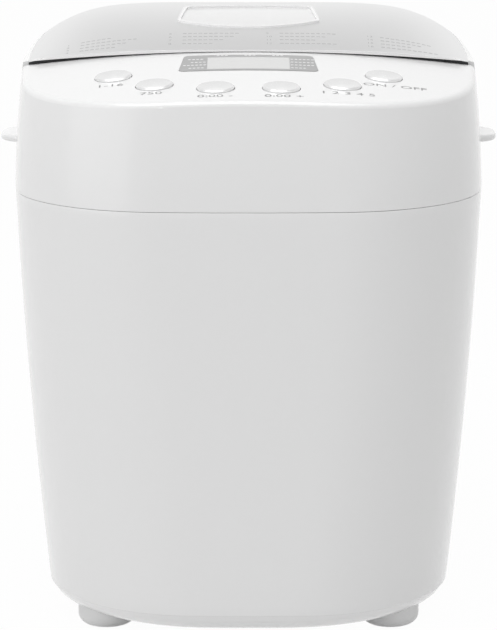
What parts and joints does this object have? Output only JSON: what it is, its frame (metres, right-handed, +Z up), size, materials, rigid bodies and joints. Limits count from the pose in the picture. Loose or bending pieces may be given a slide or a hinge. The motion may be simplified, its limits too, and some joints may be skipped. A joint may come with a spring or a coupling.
{
  "type": "bread machine",
  "caption": "Compact upright bread machine with a tapered white housing, sloping key panel with a display, hinged domed lid with a window, baking pan, kneading paddle and belt drive.",
  "frame": {"origin": "middle of the footprint, at the underside of the foot pads", "axes": "+X to the user's right, -Y towards the user (the key panel's side), +Z up"},
  "size_m": [0.2436, 0.296, 0.2804],
  "materials": {
    "casing_white": "satin moulded white",
    "foot_plastic": "fine spark texture",
    "pad_rubber": "matt",
    "lid_satin": "satin silver plate",
    "lid_glass": "clear, slightly smoked",
    "lens_clear": "clear display window",
    "display": "reflective liquid crystal",
    "key_silver": "spun, bright rim",
    "inner_dark": "matt heat resistant moulding",
    "liner_metal": "pressed sheet",
    "seal_silicone": "soft matt",
    "oven_sheet": "bright drawn sheet",
    "heater_sheath": "dark oxidised tube",
    "bush_ceramic": "unglazed",
    "bare_steel": "machined",
    "cast_metal": "die cast",
    "bearing_bronze": "sintered",
    "belt_rubber": "matt",
    "motor_paint": "dull",
    "board_green": "solder mask",
    "switch_black": "matt",
    "pan_coating": "non-stick coating, fine speckle"
  },
  "bodies": {
    "housing": {"lower_casing": "casing_white", "base_plate": "casing_white", "foot_front_left": "foot_plastic", "foot_front_right": "foot_plastic", "foot_rear_left": "foot_plastic", "foot_rear_right": "foot_plastic", "foot_pads": "pad_rubber", "foot_screws": "bare_steel", "upper_collar": "casing_white", "carry_handle_left": "casing_white", "carry_handle_right": "casing_white", "hinge_pins": "bare_steel", "lcd_lens": "lens_clear", "lcd_module": "display", "control_board": "board_green", "board_screws": "bare_steel", "tact_switches": "switch_black", "cord_gland": "inner_dark", "oven_chamber": "oven_sheet", "oven_posts": "oven_sheet", "heating_element": "heater_sheath", "heater_bushes": "bush_ceramic", "heater_clips": "oven_sheet", "temperature_sensor": "bare_steel", "pan_socket": "cast_metal", "chassis_plate": "oven_sheet", "chassis_screws": "bare_steel", "shaft_bearing": "bearing_bronze", "drive_belt": "belt_rubber", "motor_body": "motor_paint", "power_board": "board_green"},
    "lid": {"lid_shell": "casing_white", "lid_top_plate": "lid_satin", "window_bezel": "casing_white", "window_pane": "lid_glass", "lid_frame": "inner_dark", "lid_liner": "liner_metal", "inner_pane": "lid_glass", "lid_seal": "seal_silicone", "lid_screws": "bare_steel"},
    "pan": {"bread_pan": "pan_coating", "pan_base_flange": "cast_metal", "pan_seal": "seal_silicone", "handle_pivots": "bare_steel"},
    "bail": {"pan_handle": "bare_steel"},
    "paddle": {"kneading_paddle": "pan_coating", "pan_shaft": "bare_steel", "pan_coupling": "cast_metal"},
    "drive": {"drive_shaft": "bare_steel", "drive_dog": "cast_metal", "driven_pulley": "inner_dark"},
    "rotor": {"motor_shaft": "bare_steel", "motor_pulley": "inner_dark", "motor_fan": "inner_dark"},
    "key_menu": {"button_menu": "key_silver"},
    "key_weight": {"button_weight": "key_silver"},
    "key_timer_down": {"button_timer_down": "key_silver"},
    "key_timer_up": {"button_timer_up": "key_silver"},
    "key_crust": {"button_crust": "key_silver"},
    "key_start": {"button_start": "key_silver"}
  },
  "joints": [
    {"name": "lid_hinge", "type": "hinge", "parent": "housing", "child": "lid", "pos_m": [0, 0.14344, 0.2558], "axis": [-1, 0, 0], "range_deg": [0, 95]},
    {"name": "pan_twist", "type": "hinge", "parent": "housing", "child": "pan", "pos_m": [0, 0.038, 0.092], "axis": [0, 0, 1], "range_deg": [0, 9]},
    {"name": "bail_swing", "type": "hinge", "parent": "pan", "child": "bail", "pos_m": [0, 0.038, 0.192], "axis": [-1, 0, 0], "range_deg": [0, 140]},
    {"name": "drive_spin", "type": "hinge", "parent": "housing", "child": "drive", "pos_m": [0, 0.038, 0.06], "axis": [0, 0, 1], "continuous": true},
    {"name": "rotor_spin", "type": "hinge", "parent": "housing", "child": "rotor", "pos_m": [0, -0.095, 0.06], "axis": [0, 0, 1], "continuous": true},
    {"name": "paddle_spin", "type": "hinge", "parent": "pan", "child": "paddle", "pos_m": [0, 0.038, 0.092], "axis": [0, 0, 1], "continuous": true},
    {"name": "press_menu", "type": "slide", "parent": "housing", "child": "key_menu", "axis": [0.0889, 0.1386, -0.9864], "range_m": [0, 0.0012], "stiffness_N_per_m": 400, "springref_m": -0.0006},
    {"name": "press_weight", "type": "slide", "parent": "housing", "child": "key_weight", "axis": [0.061, 0.1389, -0.9884], "range_m": [0, 0.0012], "stiffness_N_per_m": 400, "springref_m": -0.0006},
    {"name": "press_timer_down", "type": "slide", "parent": "housing", "child": "key_timer_down", "axis": [0.0211, 0.1391, -0.99], "range_m": [0, 0.0012], "stiffness_N_per_m": 400, "springref_m": -0.0006},
    {"name": "press_timer_up", "type": "slide", "parent": "housing", "child": "key_timer_up", "axis": [-0.0211, 0.1391, -0.99], "range_m": [0, 0.0012], "stiffness_N_per_m": 400, "springref_m": -0.0006},
    {"name": "press_crust", "type": "slide", "parent": "housing", "child": "key_crust", "axis": [-0.061, 0.1389, -0.9884], "range_m": [0, 0.0012], "stiffness_N_per_m": 400, "springref_m": -0.0006},
    {"name": "press_start", "type": "slide", "parent": "housing", "child": "key_start", "axis": [-0.0889, 0.1386, -0.9864], "range_m": [0, 0.0012], "stiffness_N_per_m": 400, "springref_m": -0.0006}
  ],
  "couplings": [
    {"joint": "rotor_spin", "follows": "drive_spin", "ratio": 5},
    {"joint": "paddle_spin", "follows": "drive_spin", "ratio": 1}
  ]
}
